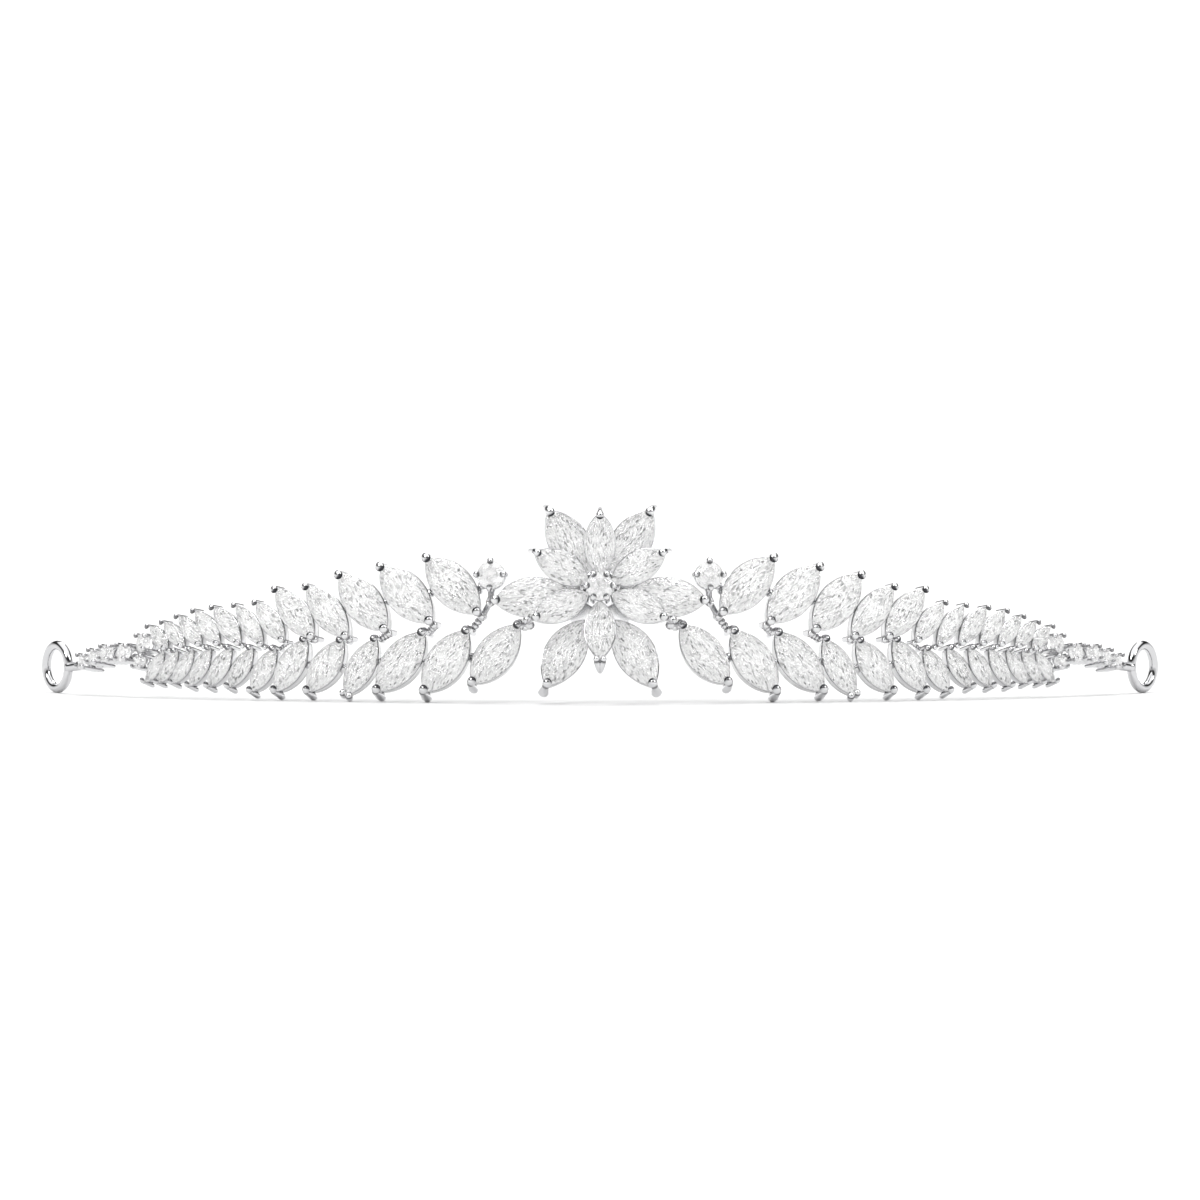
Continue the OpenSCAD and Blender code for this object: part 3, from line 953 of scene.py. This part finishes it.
def lowerRow():
    # the settings of the lower row, the rods between neighbours, and the beaded links to the upper row
    parts = []
    pitch = band["lowerPitch"]
    for i, leaf in enumerate(lowerLeaves):
        lower = 2 if i == leafRow["doubleClawLeaf"] else 1
        shape = leafSetting(leaf[3], leaf[4], 1, lower, (1.0, leafRow["pod"]), leafRow["bluntFork"])
        parts.append(moved(shape, leafPlace(leaf, pitch)))
    for leaf, other in zip(lowerLeaves, lowerLeaves[1:]):
        parts.append(sideJoint(leaf, other, pitch))
    for i, leaf in enumerate(upperLeaves):
        other = lowerLeaves[i + 1 if i < leafRow["crossing"] else i]
        above, below = clawSpot(leaf, band["upperPitch"], -1), clawSpot(other, pitch, 1)
        parts.append(rod(above, below, clawRadius(leaf[4]), beads=leafRow["linkBeads"]))
    return joined(parts)


for side in sides:
    metalPiece(f"upperRowSetting_{side}", onSide(upperRow(), side), metal)
    metalPiece(f"lowerRowSetting_{side}", onSide(lowerRow(), side), metal)
print("rows set")


# The ends: small round settings, the rod and the ring

endPart = {
    "ringRadius": 2.73,
    "wire": 0.6,          # radius of the ring's wire and of the rod
    "azimuth": 56.5,
    "ringBack": 1.2,      # behind the band's front
    "ringCount": 64,      # points round the ring, and round its wire
    "wireCount": 20,
    "upperShare": 0.25,   # where the last leaves' rods start, as shares of the leaf's length
    "lowerShare": -0.17,
    # share of the rod's length and thickness in wire radii: a collar, the plain rod and its solder
    "rod": [(0, 1.0), (0.03, 1.2), (0.06, 1.28), (0.1, 1.28), (0.16, 1.15), (0.22, 1.02), (0.27, 1.0),
            (0.3, 1.0), (0.34, 1.0), (0.6, 1.0), (0.82, 1.0), (0.88, 1.05), (0.93, 1.15), (1.0, 1.25)],
}


def endSetting():
    # the small round settings, the rods between them, and the rods from the last leaves
    parts = []
    for stone in endRounds:
        parts.append(moved(roundSetting(stone[2], stone[3], ringTop(stone[3])), roundPlace(stone)))
    for a, b in roundPairs:
        one, two = endRounds[a], endRounds[b]
        angle = bearing(one, two)
        start = rimSpot(one, angle, ringTop(one[3]))
        finish = rimSpot(two, angle + 180, ringTop(two[3]))
        parts.append(rod(start, finish))
    for leaf, pitch, share, stone in (
        (upperLeaves[-1], band["upperPitch"], endPart["upperShare"], endRounds[0]),
        (lowerLeaves[-1], band["lowerPitch"], endPart["lowerShare"], endRounds[1]),
    ):
        start = sideSpot(leaf, pitch, 1, share * leaf[3])
        parts.append(rod(start, rimSpot(stone, bearing(stone, leaf), ringTop(stone[3]))))
    return joined(parts)


def endRing():
    # a torus that stands on its lowest point, ring radius plus wire radius times the cosine of the
    # section's angle from its axis, and the rod from the last round stone to it
    height = endPart["ringRadius"] + endPart["wire"]
    place = bandPlace(endPart["azimuth"], height, 0, 0)
    around = 2 * np.pi * np.arange(endPart["ringCount"]) / endPart["ringCount"]
    section = 2 * np.pi * np.arange(endPart["wireCount"]) / endPart["wireCount"]
    far = endPart["ringRadius"] + endPart["wire"] * np.cos(section)[None, :]
    level = endPart["wire"] * np.sin(section) - endPart["ringBack"]
    level = np.broadcast_to(level, (len(around), len(section)))
    grid = np.stack([far * np.cos(around)[:, None], far * np.sin(around)[:, None], level], -1)
    torus = gridShape(grid[:, ::-1], 0.0, loopRows=True)
    stone = endRounds[-1]
    start = rimSpot(stone, bearing(stone, (endPart["azimuth"], height)), ringTop(stone[3]))
    finish = spot(place, (-endPart["ringRadius"], 0, -endPart["ringBack"]))
    share, swell = np.array(endPart["rod"]).T
    path = start + share[:, None] * (finish - start)
    wire = tube(path, endPart["wire"] * swell, squareTo(finish - start), 0.0, endPart["wireCount"])
    return joined([moved(torus, place), wire])


for side in sides:
    metalPiece(f"endSetting_{side}", onSide(endSetting(), side), metal)
    metalPiece(f"endRing_{side}", onSide(endRing(), side), shadedRingMetal)
print("ends made")


# The flower's metal

hub = {
    "backPlate": (5.2, -3.4, -2.6),    # radius, from and to
    "frontPlate": (2.45, 0.6, 1.2),
    "tube": 1.4,
    "sunk": 0.1,          # the tube's ends are this far inside the plates
    # painted shade on the tube between the plates
    "tubeShade": 0.1,
    "edge": 0.2,          # how far the plates' edges are rounded, and where the bend's middle lies
    "bend": 0.06,
    "backShade": 0.4,      # painted shade: how much darker the back is than the front
    # painted shade in the groove on the back
    "plateGrooveShade": 0.9,
    "groove": 0.05,       # depth of the groove on the back
    # shares of the radius: the dome's inner and outer circle, and the groove's three
    "circles": (0.4, 0.7, 0.78, 0.8, 0.82),
    "dome": 0.25,         # how far the back bulges, and the share of that at the outer circle
    "domeShare": 0.8,
    "count": 48,
    "centreRingTop": -0.8,
    "centreClaws": 6,
    "doubleClawPetal": 3,
    "podPetals": (2, 3),  # the back petals that point down
    "linkFrontPetal": 2,
    "linkBackPetal": 1,
    "leafShare": -0.25,   # where the side stone's rod meets the first leaf, as a share of its length
}


def lathed(profile):
    # (radius, level, painted shade) points turned about the axis, with poles at both ends: each point is
    # the radius times the angle's cosine and sine
    angle = 2 * np.pi * np.arange(hub["count"]) / hub["count"]
    radius, level, recess = np.array(profile).T
    level = np.broadcast_to(level[:, None], (len(profile), hub["count"]))
    across, along = radius[:, None] * np.cos(angle), radius[:, None] * np.sin(angle)
    return gridShape(np.stack([across, along, level], -1), recess, caps=True)


def plate(radius, low, high, dome):
    # a round plate, whose lower face is a flat dome inside a groove and a rim; painted shade darkens the
    # back, and the groove most
    edge, bend, back = hub["edge"], hub["bend"], hub["backShade"]
    inner, outer, grooveIn, grooveMiddle, grooveOut = (radius * share for share in hub["circles"])
    return lathed([
        (inner, low - dome, back),
        (outer, low - hub["domeShare"] * dome, back),
        (grooveIn, low, back),
        (grooveMiddle, low + hub["groove"], hub["plateGrooveShade"]),
        (grooveOut, low, back),
        (radius - edge, low, back),
        (radius - bend, low + bend, back),
        (radius, low + edge, 0.2),
        (radius, high - edge, 0.0),
        (radius - bend, high - bend, 0.0),
        (radius - edge, high, 0.0),
        (inner, high, 0.0),
    ])


def flowerSetting():
    # the settings of the front petals, of the back petals and of the centre stone
    parts = []
    for i, petal in enumerate(frontPetals):
        claws = 2 if i == hub["doubleClawPetal"] else 1
        shape = leafSetting(petal[2], petal[3], claws, 0)
        parts.append(moved(shape, petalPlace(petal, flower["frontLevel"])))
    for i, petal in enumerate(backPetals):
        pod = leafRow["pod"] if i in hub["podPetals"] else 1.0
        shape = leafSetting(petal[2], petal[3], 1, 0, (pod, 1.0))
        parts.append(moved(shape, petalPlace(petal, 0)))
    depth = flower["centreLevel"] - hub["frontPlate"][1]
    centre = roundSetting(flower["centreSize"], depth, hub["centreRingTop"], hub["centreClaws"], 0)
    parts.append(moved(centre, centrePlace))
    return joined(parts)


def flowerHub():
    # two plates on a tube, which carry the petals' settings
    low, high = hub["backPlate"][1] + hub["sunk"], hub["frontPlate"][2] - hub["sunk"]
    core = lathed([(hub["tube"], low, hub["tubeShade"]), (hub["tube"], high, hub["tubeShade"])])
    plates = [plate(*hub["backPlate"], hub["dome"]), plate(*hub["frontPlate"], 0.0)]
    return moved(joined(plates + [core]), flowerPlace())


def wingRoot():
    # the side stone's setting, and what joins a wing to the flower: three rods round the side stone
    # and two prongs from a front petal to the first lower leaf
    front, back = frontPetals[hub["linkFrontPetal"]], backPetals[hub["linkBackPetal"]]
    upper, lower = upperLeaves[0], lowerLeaves[0]
    top = -setting["seat"]
    away = back[2] / 2 + setting["clawOffset"] * clawRadius(back[3])
    backSpot = spot(petalPlace(back, 0), (0, away, jointLevel(back[3])))
    leafSide = sideSpot(upper, band["upperPitch"], -1, hub["leafShare"] * upper[3])
    parts = [
        moved(roundSetting(sideRound[2], sideRound[3], top, firstAngle=0), roundPlace(sideRound)),
        rod(rimSpot(sideRound, -90, top), backSpot),
        rod(rimSpot(sideRound, -45, top), leafSide),
        rod(backSpot, clawSpot(upper, band["upperPitch"], -1)),
    ]
    prong = clawRadius(front[3])
    frontPlace = petalPlace(front, flower["frontLevel"])
    frontAway, frontHigh = front[2] / 2 + setting["clawOffset"] * prong, clawFoot(front[3]) + prong
    for x in (-prong, prong):
        start = spot(frontPlace, (x, frontAway, frontHigh))
        finish = leafSpot(lower, band["lowerPitch"], (x, lower[3] / 2 + prong, jointLevel(lower[4])))
        parts.append(rod(start, finish, prong))
    return joined(parts)


metalPiece("flowerSetting", flowerSetting(), metal)
metalPiece("flowerHub", flowerHub(), litPlateMetal)
for side in sides:
    metalPiece(f"wingRoot_{side}", onSide(wingRoot(), side), metal)
print("flower set")


# Floor, light and camera

studio = {
    "floorRadius": 4.0,
    "floorCount": 96,
    "pale": 1.3,          # the world's strength
    "lightWidth": 20.0,   # how wide each light looks, in degrees
    # brightness by height: straight down, the horizon, the dark belt and straight up
    "stops": [(0.0, 1.0), (0.53, 1.0), (0.56, 0.7), (0.64, 0.6), (0.69, 0.03), (0.82, 0.03),
              (0.88, 1.2), (1.0, 1.3)],
    # name, direction that it comes from, strength
    "lights": [
        ("keyLight", (-0.6, -0.8, 0.9), 1.0),
        ("fillLight", (0.9, -0.5, 0.8), 0.65),
        ("backLight", (0.1, 0.8, 1.0), 0.8),
    ],
    "shownWidth": 0.153,  # width of the picture at the tiara's ends, in metres
    "distance": 1.5,
    "elevation": 1.5,
    "sensor": 36.0,
}


def addFloor():
    # a flat disc, its rim the radius times the angle's cosine and sine
    count = studio["floorCount"]
    angle = 2 * np.pi * np.arange(count) / count
    rim = studio["floorRadius"] * np.column_stack([np.cos(angle), np.sin(angle), np.zeros(count)])
    mesh = bpy.data.meshes.new("floor")
    mesh.from_pydata(rim.tolist(), [], [list(range(count))])
    mesh.materials.append(paper())
    floor = bpy.data.objects.new("floor", mesh)
    bpy.context.scene.collection.objects.link(floor)


def addWorld():
    # brightness by height: pale at the horizon, a dark belt above it and bright overhead, from the
    # sine of the elevation stretched from the range -1 to 1 to the range 0 to 1
    world = bpy.data.worlds.new("studioWorld")
    bpy.context.scene.world = world
    world.use_nodes = True
    nodes, links = world.node_tree.nodes, world.node_tree.links
    background = nodes["Background"]
    background.inputs["Strength"].default_value = studio["pale"]
    split = nodes.new("ShaderNodeSeparateXYZ")
    links.new(nodes.new("ShaderNodeTexCoord").outputs["Generated"], split.inputs[0])
    ramp = nodes.new("ShaderNodeValToRGB")
    stops = studio["stops"]
    elements = ramp.color_ramp.elements
    while len(elements) < len(stops):
        elements.new(0.5)
    for element, (position, bright) in zip(elements, stops):
        element.position = position
        element.color = (bright, bright, bright, 1)
    links.new(mapRange(nodes, links, split.outputs["Z"], 0.0, 1.0, start=-1.0), ramp.inputs["Fac"])
    links.new(ramp.outputs["Color"], background.inputs["Color"])


def addLight(name, direction, strength):
    # a far soft light from one direction, which lights the whole floor evenly
    light = bpy.data.lights.new(name, "SUN")
    light.angle = math.radians(studio["lightWidth"])
    light.energy = strength
    lamp = bpy.data.objects.new(name, light)
    lamp.rotation_euler = (-Vector(direction)).to_track_quat("-Z", "Y").to_euler()
    bpy.context.scene.collection.objects.link(lamp)


def addCamera():
    # straight in front and slightly raised: the focal length is the sensor's width times the
    # distance to the tiara's ends over the width that is shown there
    low, high = (Vector(corner) for corner in cadBox)
    middle = (low + high) / 2
    tilt = math.radians(studio["elevation"])
    away = Vector((0, -math.cos(tilt), math.sin(tilt))) * studio["distance"]
    data = bpy.data.cameras.new("camera")
    data.sensor_width = studio["sensor"]
    data.lens = studio["sensor"] * (studio["distance"] + high.y) / studio["shownWidth"]
    camera = bpy.data.objects.new("camera", data)
    camera.location = middle + away
    camera.rotation_euler = (-away).to_track_quat("-Z", "Y").to_euler()
    bpy.context.scene.collection.objects.link(camera)
    bpy.context.scene.camera = camera


bpy.context.scene.view_settings.view_transform = "Standard"
addFloor()
addWorld()
for name, direction, strength in studio["lights"]:
    addLight(name, direction, strength)
addCamera()
print("stage set")
